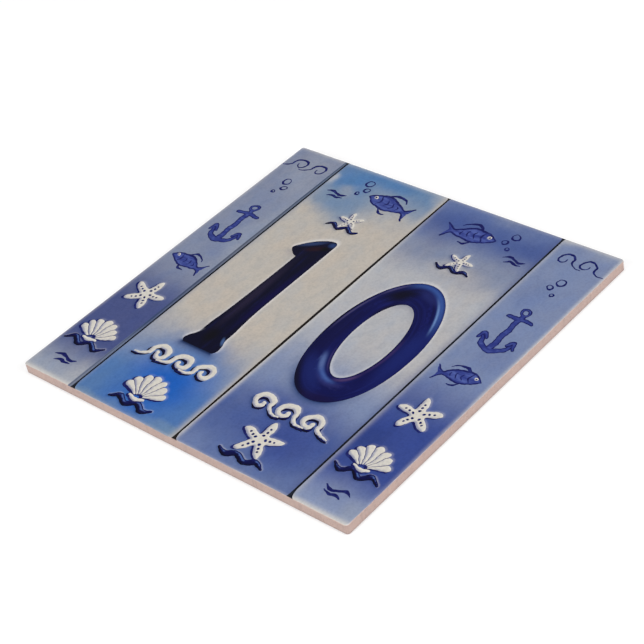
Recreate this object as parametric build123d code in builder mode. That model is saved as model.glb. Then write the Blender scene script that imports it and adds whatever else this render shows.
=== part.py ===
"""Square glazed wall tile that carries a house number, lying on its back with the face up.

The tile is one dust-pressed and fired piece: a thin square plate with rounded corners, a face whose edge rolls
over where the glaze pooled and drew back in the kiln, plain pressed sides, and a back with a lattice of shallow
recesses that key it to the wall adhesive. The printed picture lies in the glaze and has no height of its own.

Frame: origin at the middle of the back, +Z out of the glazed face, +Y towards the top of the number.
"""

import os

from build123d import *

# Driving dimensions, in millimetres and degrees

SIDE = 152.4  # edge of the square, a six inch tile
THICKNESS = 4.3  # from the plane of the back ribs to the glazed face
CORNER_RADIUS = 1.2  # the four corners, seen from above
RIM_RADIUS = 0.4  # roll of the glazed face over its edge
FOOT_CHAMFER = 0.4  # arris broken all round the back

KEY_SIZE = 16.0  # mouth of one keying recess
KEY_RIB = 4.0  # rib left between two recesses
KEY_DEPTH = 0.6  # how deep the punch presses each recess
KEY_CORNER = 2.0  # corner radius of a recess at its mouth
KEY_DRAFT = 30.0  # lean of a recess's walls, so that the punch draws out clean
BACK_MARGIN = 6.0  # least plain border between the outermost recesses and the tile's edge

# Worked out from the dimensions above

key_pitch = KEY_SIZE + KEY_RIB
key_count = int((SIDE - 2 * BACK_MARGIN + KEY_RIB) // key_pitch)

# The tile

with BuildPart() as tile:
    # pressed blank
    with BuildSketch():
        RectangleRounded(SIDE, SIDE, CORNER_RADIUS)
    extrude(amount=THICKNESS)

    # rolled rim of the glazed face, and the broken arris of the back
    fillet(tile.faces().sort_by(Axis.Z)[-1].edges(), RIM_RADIUS)
    chamfer(tile.faces().sort_by(Axis.Z)[0].edges(), FOOT_CHAMFER)

    # lattice of keying recesses, narrowing from the back's plane into the body
    with BuildSketch():
        with GridLocations(key_pitch, key_pitch, key_count, key_count):
            RectangleRounded(KEY_SIZE, KEY_SIZE, KEY_CORNER)
    extrude(amount=KEY_DEPTH, taper=KEY_DRAFT, mode=Mode.SUBTRACT)

tile.part.label = "tile"

os.makedirs("parts", exist_ok=True)
export_step(tile.part, "parts/tile.step")
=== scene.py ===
"""Dresses the square house number tile in its two finishes and sets it on a pale studio floor.

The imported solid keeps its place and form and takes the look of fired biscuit. Over its face lies the glaze,
a thin closed skin that rolls over the rim and stops at an uneven line on the sides. The print lies in that
skin: the face is cut along the outlines of the printed shapes, so that every ink has a sharp edge, and each
shape that is painted as if it stood up carries its own painted light and shade.

Frame: metres, +Z out of the face, +Y towards the top of the number. The print is drawn in millimetres, on the
flat sheet that the glaze would be if its rolled rim were pressed flat.
"""

import math
from collections import namedtuple

import bpy
import numpy as np
from mathutils import Matrix, Vector
from mathutils.geometry import delaunay_2d_cdt


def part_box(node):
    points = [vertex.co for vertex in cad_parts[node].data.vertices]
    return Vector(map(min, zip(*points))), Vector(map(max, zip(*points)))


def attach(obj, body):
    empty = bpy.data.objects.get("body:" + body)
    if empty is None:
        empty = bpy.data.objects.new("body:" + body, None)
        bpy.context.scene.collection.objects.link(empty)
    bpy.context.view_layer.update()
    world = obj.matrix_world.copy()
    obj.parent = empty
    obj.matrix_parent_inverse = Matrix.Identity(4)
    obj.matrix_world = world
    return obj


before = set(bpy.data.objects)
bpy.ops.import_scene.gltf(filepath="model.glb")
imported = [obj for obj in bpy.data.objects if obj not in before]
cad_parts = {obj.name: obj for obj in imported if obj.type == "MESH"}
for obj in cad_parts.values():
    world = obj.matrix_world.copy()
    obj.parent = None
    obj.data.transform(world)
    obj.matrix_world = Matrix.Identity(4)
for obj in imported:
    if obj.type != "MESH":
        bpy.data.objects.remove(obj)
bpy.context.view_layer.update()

bl_info = {
    "name": "House Number Tile",
    "version": (1, 0, 0),
    "blender": (4, 5, 0),
    "location": "View3D > Sidebar > House Tile",
    "description": "Finishes a printed ceramic house number tile and sets it on a studio floor",
    "category": "Object",
}

MM = 0.001
TILE_LOW, TILE_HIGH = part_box("tile")
HALF_SIDE = TILE_HIGH.x / MM
FACE_HEIGHT = TILE_HIGH.z / MM


def srgb(red, green, blue):
    """A colour as a picture shows it, from 0 to 255, in Blender's linear light."""
    shown = [channel / 255 for channel in (red, green, blue)]
    return tuple(c / 12.92 if c <= 0.04045 else ((c + 0.055) / 1.055) ** 2.4 for c in shown)


# What a user would change


def length_property(name, default_mm, description, least_mm=0.0):
    """A length in metres, with its default given in millimetres."""
    return bpy.props.FloatProperty(
        name=name,
        description=description,
        default=default_mm * MM,
        min=least_mm * MM,
        unit="LENGTH",
        precision=5,
    )


def place_property(name, default_mm, description):
    """A place on the face, to either side of its middle."""
    return length_property(name, default_mm, description, least_mm=-HALF_SIDE)


def colour_property(name, shown, description):
    """A colour, with its default given as a picture shows it."""
    return bpy.props.FloatVectorProperty(
        name=name, description=description, default=srgb(*shown), subtype="COLOR", min=0.0, max=1.0
    )


def angle_property(name, degrees, description):
    """An angle in radians, with its default given in degrees."""
    return bpy.props.FloatProperty(
        name=name, description=description, default=math.radians(degrees), unit="ROTATION", precision=4
    )


class HouseTileBody(bpy.types.PropertyGroup):
    """The fired biscuit and the skin of glaze."""

    biscuit: colour_property("Biscuit", (198, 172, 164), "Fired clay of the sides and back")
    # darker clay of the pores and pressing marks, also the painted shade low on the sides
    biscuit_dark_and_shade: colour_property("Biscuit Dark", (168, 146, 141), "Clay where the arris and pores hold dust")
    bare_glaze: colour_property("Bare Glaze", (214, 199, 188), "Glaze with no print under it, along the rim")
    corner_radius: length_property("Corner Radius", 1.2, "Corner of the tile, seen from above")
    rim_radius: length_property("Rim Radius", 0.4, "Roll of the face over its edge")
    glaze_proud: length_property("Glaze Proud", 0.05, "How far the glaze stands over the biscuit")
    glaze_depth: length_property("Glaze Depth", 0.2, "How far the glaze reaches into the biscuit's outline")
    glaze_reach: length_property("Glaze Reach", 0.42, "How far the glaze runs over the roll of the rim")


class HouseTilePrint(bpy.types.PropertyGroup):
    """The places and inks of the print."""

    left_joint: place_property("Left Joint", -51.35, "Middle of the left printed joint")
    middle_joint: place_property("Middle Joint", -1.0, "Middle of the printed joint between the digits")
    right_joint: place_property("Right Joint", 51.1, "Middle of the right printed joint")
    joint_lean: place_property("Joint Lean", 0.52, "How far each joint strays to the right by the lower edge")
    wall_width: length_property("Wall Width", 2.0, "Painted side wall beside the left joint")
    cobalt: colour_property("Cobalt", (12, 17, 82), "Thick ink of the nought and the strokes of water")
    cobalt_deep: colour_property("Cobalt Deep", (6, 6, 34), "Thick ink of the one, and the shaded side")
    cobalt_sheen: colour_property("Cobalt Sheen", (92, 126, 196), "Painted light along the thick ink")
    wash: colour_property("Wash", (48, 60, 132), "Thin ink of the small drawings")
    slip: colour_property("Slip", (216, 211, 201), "White of the painted ornaments")
    slip_shade: colour_property("Slip Shade", (150, 152, 174), "White, painted as turned from the light")
    joint: colour_property("Joint", (20, 24, 34), "Dark of the printed joints")


class HouseTileStage(bpy.types.PropertyGroup):
    """The camera and the floor."""

    azimuth: angle_property("Azimuth", 48.2908, "Where the camera stands round the tile")
    elevation: angle_property("Elevation", 38.1783, "How high the camera stands above the horizon")
    roll: angle_property("Roll", -11.7823, "Turn of the camera about its own line of sight")
    distance: length_property("Distance", 648.49, "From the camera to the middle of the face")
    rise: length_property("Rise", 3.58, "How far the face's middle stands above the picture's middle")
    lens: bpy.props.FloatProperty(
        name="Lens", description="Focal length on a 36 mm sensor", default=102.66, unit="CAMERA"
    )
    floor: colour_property("Floor", (194, 194, 194), "Paper under the tile, before its glow to the camera")


BODY = PRINT = STAGE = None  # set to the scene's own groups by register


# Lines drawn in millimetres

OUTLINE_STEP = 0.4  # between two points of a printed outline
Printed = namedtuple("Printed", "ink outline")


def even(corners, closed=True):
    """A line of straight runs, with points added along each run and its corners kept."""
    corners = np.asarray(corners, float)
    ends = np.roll(corners, -1, axis=0) if closed else corners[1:]
    line = []
    for start, end in zip(corners, ends):
        count = max(1, round(np.linalg.norm(end - start) / OUTLINE_STEP))
        line.append(start + (end - start) * np.linspace(0, 1, count, endpoint=False)[:, None])
    if not closed:
        line.append(corners[-1:])
    return np.vstack(line)


def smooth(points):
    """A smooth line through a few points."""
    points = np.asarray(points, float)
    knots = np.vstack([2 * points[:1] - points[1:2], points, 2 * points[-1:] - points[-2:-1]])
    line = []
    for a, b, c, d in zip(knots, knots[1:], knots[2:], knots[3:]):
        count = max(2, round(np.linalg.norm(c - b) / OUTLINE_STEP))
        t = np.linspace(0, 1, count, endpoint=False)[:, None]
        bend = (2 * a - 5 * b + 4 * c - d) * t**2 + (3 * b - a - 3 * c + d) * t**3
        line.append(b + ((c - a) * t + bend) / 2)
    return np.vstack([*line, points[-1:]])


LEAST_STEPS = 10  # points of the smallest oval
CAP_POINTS = 9  # points round the end of a brush stroke, or round the flare of a joint


def ellipse(centre, half_wide, half_high=None):
    """A closed oval, or a circle where it has only one half width."""
    half_high = half_high or half_wide
    steps = max(LEAST_STEPS, round(math.pi * (half_wide + half_high) / OUTLINE_STEP))
    turn = np.linspace(0, 2 * math.pi, steps, endpoint=False)
    return np.column_stack([centre[0] + half_wide * np.cos(turn), centre[1] + half_high * np.sin(turn)])


def stroke(points, widths):
    """Outline of a brush stroke with round ends along a smooth line, as wide as the widths say on its way."""
    line = smooth(points)
    run = np.concatenate([[0], np.cumsum(np.linalg.norm(np.diff(line, axis=0), axis=1))])
    half = np.interp(run / run[-1], np.linspace(0, 1, len(widths)), widths) / 2
    way = np.gradient(line, axis=0)
    way /= np.linalg.norm(way, axis=1)[:, None]
    side = np.column_stack([-way[:, 1], way[:, 0]])
    left, right = line + side * half[:, None], line - side * half[:, None]
    arc = np.linspace(0, math.pi, CAP_POINTS)[1:-1, None]
    far_cap = line[-1] + half[-1] * (side[-1] * np.cos(arc) + way[-1] * np.sin(arc))
    near_cap = line[0] - half[0] * (side[0] * np.cos(arc) + way[0] * np.sin(arc))
    return np.vstack([left, far_cap, right[::-1], near_cap])


def brushed(ink, points, widths):
    """A printed brush stroke."""
    return Printed(ink, stroke(points, widths))


def dot(ink, centre, half):
    """A printed round dot."""
    return Printed(ink, ellipse(centre, half))


def placed(shapes, at, size=1.0, turn=0.0, flip=False):
    """Printed shapes moved to their place, turned by degrees and mirrored left to right if asked."""
    angle = math.radians(turn)
    spin = np.array([[math.cos(angle), math.sin(angle)], [-math.sin(angle), math.cos(angle)]])
    mirror = np.array([-1.0 if flip else 1.0, 1.0])
    return [Printed(ink, outline * mirror * size @ spin + at) for ink, outline in shapes]


def leaned(outline, lean):
    """An outline that leans to the left, by a share of its height."""
    return outline - np.column_stack([lean * outline[:, 1], np.zeros(len(outline))])


WAVERS = ((0.22, 0.85), (0.07, 3.1))  # reach and pace of a brush that is held by hand
WAVER_UP = 0.9  # pace of the waver up and down, to that of the one from side to side
WAVER_DRIFTS = (0.45, 0.55)  # how fast the two change along the other way


def hand_drawn(shapes):
    """Shapes with the slight waver of a brush held by hand."""
    drawn = []
    for ink, outline in shapes:
        x, y = outline.T
        for reach, pace in WAVERS:
            aside = np.sin(pace * y + np.sin(WAVER_DRIFTS[0] * pace * x))
            up = np.sin(WAVER_UP * pace * x + np.sin(WAVER_DRIFTS[1] * pace * y))
            outline = outline + reach * np.column_stack([aside, up])
        drawn.append(Printed(ink, outline))
    return drawn


SHORTEST = 1e-12  # square of the shortest run of an outline that is divided by
BATCH = 4_000_000  # pairs of a spot and a run of an outline that are measured at once


def signed_gap(outline, spots):
    """How far each spot lies outside a closed outline, below zero inside it."""
    run = np.roll(outline, -1, axis=0) - outline
    length = np.maximum((run**2).sum(1), SHORTEST)
    gaps = np.empty(len(spots))
    batch = max(1, BATCH // len(outline))
    for first in range(0, len(spots), batch):
        offset = spots[first : first + batch, None] - outline
        along = np.clip((offset * run).sum(2) / length, 0, 1)
        gap = np.linalg.norm(offset - along[:, :, None] * run, axis=2).min(1)
        above, next_above = offset[:, :, 1] >= 0, offset[:, :, 1] >= run[:, 1]
        side = run[:, 0] * offset[:, :, 1] - run[:, 1] * offset[:, :, 0]
        turns = (above & ~next_above & (side > 0)).sum(1) - (~above & next_above & (side < 0)).sum(1)
        gaps[first : first + batch] = np.where(turns != 0, -gap, gap)
    return gaps


def near_box(outline, spots, margin):
    """Which spots lie within a margin of the outline's box."""
    low, high = outline.min(0) - margin, outline.max(0) + margin
    return ((spots >= low) & (spots <= high)).all(1)


# The printed digits and ornaments, in millimetres about their own middle, or for the one its top

WHITE, CREST, LINE, THIN = "slip_white", "cobalt_slip", "cobalt_line", "cobalt_wash"
ONE, NOUGHT = "one_cobalt", "nought_cobalt"
BARE = "field"  # shows the field again where a shape has a hole


def digit_one():
    """A one with a flag and a foot, from the top of the flag down."""
    flag = smooth([
        (-9.0, -9.6), (-8.2, -8.2), (-4.2, -3.8), (0.4, -0.8), (3.9, 0.0), (5.4, -1.0), (5.6, -2.6),
    ])
    right = smooth([
        (5.6, -2.6), (5.6, -18.6), (5.5, -43.6), (6.0, -53.6), (6.5, -58.6),
        (6.6, -63.4), (7.6, -66.2), (8.0, -69.2), (7.0, -71.0),
    ])
    left = smooth([
        (-7.4, -71.0), (-8.4, -69.4), (-7.7, -67.2), (-5.8, -64.0),
        (-5.7, -58.6), (-5.0, -48.6), (-4.4, -28.6), (-4.2, -13.7),
    ])
    tip = smooth([(-4.2, -13.7), (-5.8, -13.1), (-7.2, -12.1), (-8.6, -10.7), (-9.0, -9.6)])
    foot = even([right[-1], left[0]], closed=False)
    outline = np.vstack([run[:-1] for run in (flag, right, foot, left, tip)])
    return [Printed(ONE, outline[::-1])]


def digit_nought():
    """A tall nought, fuller below, that leans a little to the left."""
    high, fuller = 34.4, 0.12
    ring_lean, counter_lean = 0.012, 0.047
    ring = ellipse((0.15, 0), 18.65, high)
    ring[:, 0] *= 1 + fuller * np.minimum(ring[:, 1] / high, 0) ** 2
    counter = ellipse((0.25, 0.1), 9.15, 21.2)
    return [Printed(NOUGHT, leaned(ring, ring_lean)), Printed(BARE, leaned(counter, counter_lean))]


BELOW = np.array([-0.4, -0.55])  # from a white shape to the cobalt that is brushed along its shaded side


def crests(count):
    """Middle lines of the crests of a running scroll."""
    pitch = 10.8
    turn = np.radians(np.linspace(196, -180, 11))
    reach = np.linspace(4.5, 1.25, len(turn))
    crest = np.column_stack([1.4 + reach * np.cos(turn), 0.3 + reach * np.sin(turn)])
    crest = np.vstack([[(-8.4, -2.9), (-5.4, -2.6)], crest])
    return [crest + ((k - (count - 1) / 2) * pitch, 0.0) for k in range(count)]


def curl(count):
    """A running scroll of white crests, each with a cobalt stroke below it."""
    below = (-0.6, -1.1)
    shapes = []
    for crest in crests(count):
        shapes.append(brushed(CREST, crest + below, [0.9, 1.9, 2.5, 2.0, 1.7]))
        shapes.append(brushed(WHITE, crest, [0.6, 1.8, 2.5, 2.1, 1.7]))
    return shapes


def thin_curl(count):
    """The same scroll as a fine line."""
    return [brushed(LINE, crest, [0.4, 1.0, 1.2, 0.9, 0.6]) for crest in crests(count)]


def scallop():
    """A fan shell of white lobes on a cobalt ground."""
    lobes, spread, reach, droop = 7, math.radians(118), 12.4, 3.4
    hinge, root = np.array([0.0, -6.2]), 2.6
    ground, fan = [], []
    for k in range(lobes):
        off_middle = k / (lobes - 1) - 0.5
        way = np.array([math.sin(spread * off_middle), math.cos(spread * off_middle)])
        long = reach - droop * abs(off_middle)
        wide = 0.8 * spread / (lobes - 1) * long
        spine = [hinge + way * root, hinge + way * (long - wide / 2)]
        ground.append(Printed(LINE, stroke(spine, [1.5, wide + 0.8]) + BELOW))
        fan.append(brushed(WHITE, spine, [0.7, wide]))
    bar = [(-3.3, -6.0), (0.0, -6.7), (3.3, -6.0)]
    ground.append(Printed(LINE, stroke(bar, [1.6, 2.6, 1.6]) + BELOW))
    fan.append(brushed(WHITE, bar, [1.1, 1.9, 1.1]))
    return ground + fan


def starfish():
    """A star with five round arms and a row of dots along each."""
    arms, reach, waist = 5, 8.0, 0.36
    turn = np.linspace(0, 2 * math.pi, 120, endpoint=False)
    out = waist + (1 - waist) * (0.5 + 0.5 * np.cos(arms * turn)) ** 1.5
    star = reach * np.column_stack([-out * np.sin(turn), out * np.cos(turn)])
    shapes = [Printed(LINE, star * 1.03 + BELOW), Printed(WHITE, star)]
    for arm in range(arms):
        lean = 2 * math.pi * arm / arms
        way = np.array([-math.sin(lean), math.cos(lean)])
        shapes += [dot(LINE, along * way, half) for along, half in ((2.0, 0.55), (3.6, 0.48), (5.1, 0.4))]
    return shapes


def fish():
    """A fish that swims to the left."""
    back = smooth([(-8.6, -0.2), (-5.2, 2.5), (-0.4, 3.3), (4.0, 1.7), (6.2, 0.7)])
    belly = smooth([(6.2, -0.7), (3.6, -1.8), (-0.8, -2.9), (-5.4, -2.3), (-8.6, -0.2)])
    tail = even([(6.2, 0.7), (9.2, 3.5), (8.0, 0.0), (9.2, -3.5), (6.2, -0.7)], closed=False)
    upper = [(-8.5, -0.1), (-5.2, 2.6), (-0.4, 3.4), (4.0, 1.8), (6.4, 0.8), (9.1, 3.5)]
    lower = [(-8.5, -0.3), (-5.4, -2.3), (-0.8, -2.9), (3.6, -1.9), (6.4, -0.8), (9.1, -3.5)]
    strokes = [
        (upper, [0.5, 0.9, 0.7, 0.6]),
        (lower, [0.5, 0.7, 0.6, 0.6]),
        ([(-3.0, 3.0), (-0.6, 5.2), (2.6, 5.0), (4.4, 3.6)], [0.5, 1.3, 0.8, 0.4]),
        ([(-1.6, -2.9), (0.2, -4.6), (2.2, -4.4)], [0.5, 1.1, 0.4]),
        ([(-4.4, 2.2), (-3.6, 0.2), (-4.3, -1.9)], [0.4, 0.7, 0.4]),
        ([(-1.6, 1.6), (-0.9, 0.3), (-1.5, -1.1)], [0.3, 0.6, 0.3]),
        ([(0.9, 1.5), (1.5, 0.2), (1.0, -1.1)], [0.3, 0.6, 0.3]),
        ([(3.2, 1.0), (3.7, 0.1), (3.3, -0.8)], [0.3, 0.5, 0.3]),
    ]
    shapes = [Printed(THIN, np.vstack([run[:-1] for run in (back, tail, belly)])[::-1])]
    shapes += [brushed(LINE, points, widths) for points, widths in strokes]
    return [*shapes, dot(WHITE, (-6.1, 0.7), 0.75), dot(LINE, (-6.2, 0.7), 0.35)]


def anchor():
    """An anchor of thin wash with a cobalt outline."""
    bars = [
        ([(0, 8.6), (0, -11.2)], [1.9, 2.3]),
        ([(-4.8, 6.4), (0, 6.8), (4.8, 6.4)], [1.3, 1.9, 1.3]),
        ([(-6.0, -6.6), (-4.0, -10.1), (0, -11.7), (4.0, -10.1), (6.0, -6.6)], [1.1, 2.0, 2.4, 2.0, 1.1]),
        ([(-7.3, -7.6), (-6.1, -4.6), (-4.3, -7.0)], [0.9, 1.5, 0.9]),
        ([(7.3, -7.6), (6.1, -4.6), (4.3, -7.0)], [0.9, 1.5, 0.9]),
    ]
    eye, edge = (0.0, 10.6), 0.45
    shapes = [brushed(LINE, points, np.array(widths) + edge) for points, widths in bars]
    shapes.append(dot(LINE, eye, 2.3))
    shapes += [brushed(THIN, points, np.array(widths) - edge) for points, widths in bars]
    return [*shapes, dot(THIN, eye, 1.9), dot(LINE, eye, 1.4), dot(BARE, eye, 1.0)]


def bubbles():
    """Three rings that rise in a row, each drawn with a thicker lower side."""
    shapes = []
    for x, y, half in ((-1.7, -3.2, 1.1), (1.0, 0.0, 1.5), (-0.8, 4.0, 2.0)):
        shapes.append(dot(LINE, (x, y), half))
        shapes.append(dot(BARE, (x + 0.15, y + 0.2), half - 0.65))
    return shapes


def swell():
    """A thick cobalt brush stroke of water, under another shape."""
    wave = [(-9.8, -0.7), (-6.2, 1.2), (-2.1, -1.1), (2.1, 1.1), (6.2, -1.1), (9.8, 0.8)]
    return [brushed(CREST, wave, [1.1, 2.7, 2.4, 2.4, 2.7, 1.1])]


def ripple():
    """Two short brush strokes of water."""
    upper = [(-4.6, 0.9), (-2.4, 1.9), (0.0, 1.1), (2.2, 0.4), (4.6, 1.5)]
    lower = [(-2.8, -1.4), (-0.8, -0.5), (1.4, -1.2), (3.6, -0.6)]
    return [brushed(LINE, upper, [0.4, 1.4, 1.0, 1.4, 0.4]), brushed(LINE, lower, [0.4, 1.2, 1.2, 0.4])]


Flare = namedtuple("Flare", "wide long")  # opening of a joint's end, at the rounded corner of a field
LOW_RIGHT, LOW_LEFT = Flare(1.9, 5.0), Flare(0.4, 1.6)
HIGH_RIGHT, HIGH_LEFT = Flare(0.5, 2.0), Flare(0.7, 2.6)
PAST_EDGE = 4.0  # how far the joints are drawn past the sheet, to be cut off there
WALL_NARROWS = 0.3  # how much of its width the painted side wall loses by the upper edge


def joint_places():
    """Middles of the three joints, halfway up the face."""
    return [x / MM for x in (PRINT.left_joint, PRINT.middle_joint, PRINT.right_joint)]


def joint_lean():
    """How far the joints lean to the left, as a share of their height."""
    return PRINT.joint_lean / MM / HALF_SIDE


def joint_edge(half, low, high, bulge):
    """Right edge of a printed joint, from below the sheet to above it, bulging halfway up."""
    reach = HALF_SIDE + PAST_EDGE
    bend = np.linspace(0, math.pi / 2, CAP_POINTS)
    out, along = 1 - np.cos(bend), np.sin(bend)
    low_edge, high_edge = low.long - HALF_SIDE, HALF_SIDE - high.long
    middle = even([(half, low_edge), (half, high_edge)], closed=False)[1:-1]
    middle[:, 0] += bulge * (1 - (middle[:, 1] / HALF_SIDE) ** 2)
    return np.vstack([
        even([(half + low.wide, -reach), (half + low.wide, -HALF_SIDE)], closed=False)[:-1],
        np.column_stack([half + low.wide * out, low_edge - low.long * along])[::-1],
        middle,
        np.column_stack([half + high.wide * out, high_edge + high.long * along]),
        even([(half + high.wide, HALF_SIDE), (half + high.wide, reach)], closed=False)[1:],
    ])


def joint_strip(middle, width, bulge):
    """A printed joint, open at its ends where the fields' corners are rounded."""
    right = joint_edge(width / 2, LOW_RIGHT, HIGH_RIGHT, bulge)
    left = joint_edge(width / 2, LOW_LEFT, HIGH_LEFT, bulge) * (-1, 1)
    return Printed("joint", leaned(np.vstack([right, left[::-1]]) + (middle, 0), joint_lean()))


def wall_strip(middle):
    """The painted side wall that shows on the left of a joint."""
    reach, width = HALF_SIDE + PAST_EDGE, PRINT.wall_width / MM
    wall = even([(-width, -reach), (0, -reach), (0, reach), (-width, reach)])
    narrowing = 1 - WALL_NARROWS * np.maximum(wall[:, 1] / HALF_SIDE, 0) ** 2
    wall = np.column_stack([middle + wall[:, 0] * narrowing, wall[:, 1]])
    return Printed("joint_wall", leaned(wall, joint_lean()))


JOINT_WIDTHS = (0.75, 0.7, 0.85)  # from left to right
MIDDLE_BULGE = 0.25  # how far each edge of the middle joint swells halfway up
ONE_X, NOUGHT_X = -26.2, 25.8  # middles of the digits
ONE_TOP, NOUGHT_MIDDLE = 33.6, -3.35  # heights that the two digits are drawn from
LEFT_X, RIGHT_X = -64.9, 63.6  # middles of the ornaments down the two end fields


def print_sheet():
    """Every printed shape, in the order in which the inks are laid."""
    joints = joint_places()
    bulges = (0.0, MIDDLE_BULGE, 0.0)
    shapes = [wall_strip(joints[0])]
    shapes += [joint_strip(*joint) for joint in zip(joints, JOINT_WIDTHS, bulges)]
    shapes += placed(digit_one(), (ONE_X, ONE_TOP))
    shapes += placed(digit_nought(), (NOUGHT_X, NOUGHT_MIDDLE))
    ornaments = []

    def lay(drawing, x, y, **how):
        ornaments.extend(placed(drawing, (x, y), **how))

    # below and above the one
    lay(curl(3), ONE_X, -47.0)
    lay(swell(), ONE_X, -71.2)
    lay(scallop(), ONE_X, -62.0)
    lay(fish(), ONE_X + 6.5, 61.5, size=1.2, turn=-8)
    lay(bubbles(), ONE_X - 8.0, 65.0)
    lay(ripple(), ONE_X - 16.5, 57.0)
    lay(swell(), ONE_X, 41.6, size=0.75)
    lay(starfish(), ONE_X, 46.5, size=0.66, turn=14)

    # below and above the nought
    lay(curl(3), NOUGHT_X, -47.0, flip=True)
    lay(swell(), NOUGHT_X, -71.2, flip=True)
    lay(starfish(), NOUGHT_X, -61.4, size=1.12)
    lay(fish(), NOUGHT_X - 6.5, 61.5, size=1.2, turn=8, flip=True)
    lay(bubbles(), NOUGHT_X + 8.5, 64.0, flip=True)
    lay(ripple(), NOUGHT_X + 16.5, 56.0)
    lay(swell(), NOUGHT_X, 41.6, size=0.75, flip=True)
    lay(starfish(), NOUGHT_X, 46.5, size=0.66, turn=-10)

    # down the two end fields
    for x, flip in ((LEFT_X, False), (RIGHT_X, True)):
        lay(thin_curl(2), x, 66.0, size=0.86, flip=flip)
        lay(bubbles(), x, 50.5, flip=flip)
        lay(anchor(), x, 24.5)
        lay(fish(), x, -3.0, turn=10 if flip else -10, flip=flip)
        lay(starfish(), x, -25.0, size=1.05, turn=12 if flip else -12)
        lay(swell(), x, -56.8, size=0.95, flip=flip)
        lay(scallop(), x, -48.4, size=0.92)
        lay(ripple(), x, -67.0, size=1.1, flip=flip)
    return shapes + hand_drawn(ornaments)


# The skin of glaze

GLAZE_WAVES = ((17, 0.05), (53, 0.04), (127, 0.03))  # waves round the glaze line, and their height
RIM_PITCH = 0.5  # between points round the rim
CORNER_POINTS = 8  # points round each corner of the rim
INNER_RINGS = (-0.8, -0.3)  # rings of points beside the roll of the rim, from where it starts
ROLL_RINGS, ROLL_SHARE = 4, 0.7  # rings of points round the roll, and the share of the glaze's reach
FACE_MARGIN = 1.0  # left free of points beside the roll
FINE_PITCH = 0.6  # between points beside a shape that is painted as raised
FINE_REACH, HALF_REACH = 1.4, 5.0  # how far from such a shape every point is kept, and then every second one
RAISED_MARGIN, FLAT_MARGIN = 6.0, 1.0  # round a raised and a flat shape, where its edge is looked for
CLEAR_OF_EDGE = 0.21  # left free of points beside every outline
WELD = 1e-4  # within which two points of the sheet are one
SHEET_SHARE = 0.965  # of the print map's width, the rest being for the hidden underside
HIDDEN_SHARE = 0.8  # of that rest, the part that the underside fills
SHARP_ANGLE = 50  # degrees, from which an edge of the skin isn't shaded smooth
TINY = 1e-9  # stands in for no length at all where one is divided by

# How some shapes are painted as if they stood up

LIGHT = np.array([0.6, 0.8])  # where the painted light comes from, in the plane of the face
SKY = np.array([0.1, 1.0])  # the same for the ground round the digits
LEAN_STEP = 0.15  # over which the lean of a painted edge is measured
SHADOW_FADES = (-20.0, 5.0)  # heights on the face between which a shadow fades to what stays high up

# measured in heights of the raised shape
SHADE_MARGIN = 2.5  # round the shape, where the ground is painted
SHADOW_LOOK, SHADOW_GAIN = 0.5, 0.4  # a step towards the light, and how much nearer that comes in full shadow
GLEAM_LOOK, GLEAM_LONG = 0.3, 0.8  # a step away from the light, and how far the gleam reaches from there

# how far in from its edge a shape is curved, how tall it is, how far it casts a shadow and how dark, how much
# of that stays high on the face, and how bright the ground is on its lit side
Relief = namedtuple("Relief", "dome tall cast dark high gleam")
RAISED = {
    WHITE: Relief(dome=1.3, tall=1.6, cast=2.9, dark=0.8, high=1.0, gleam=0.25),
    CREST: Relief(dome=1.4, tall=1.0, cast=1.8, dark=0.6, high=1.0, gleam=0.3),
    ONE: Relief(dome=4.8, tall=2.6, cast=6.4, dark=1.0, high=0.4, gleam=0.6),
    NOUGHT: Relief(dome=4.6, tall=2.6, cast=5.6, dark=0.85, high=0.6, gleam=0.4),
}


def rounded_square(half, radius, pitch):
    """Points round a square with rounded corners, and the way out from the square at each."""
    inner = half - radius
    arc = np.linspace(0, math.pi / 2, CORNER_POINTS)
    points, ways = [], []
    for quarter in range(4):
        turn = arc + quarter * math.pi / 2
        middle = math.pi / 4 + quarter * math.pi / 2
        centre = inner * math.sqrt(2) * np.array([math.cos(middle), math.sin(middle)])
        way = np.column_stack([np.cos(turn), np.sin(turn)])
        count = max(2, round(2 * inner / pitch))
        share = np.linspace(0, 1, count, endpoint=False)[1:, None]
        run = 2 * inner * np.array([-way[-1][1], way[-1][0]])
        points += [centre + radius * way, centre + radius * way[-1] + share * run]
        ways += [way, np.repeat(way[-1:], len(share), axis=0)]
    return np.vstack(points), np.vstack(ways)


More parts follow.
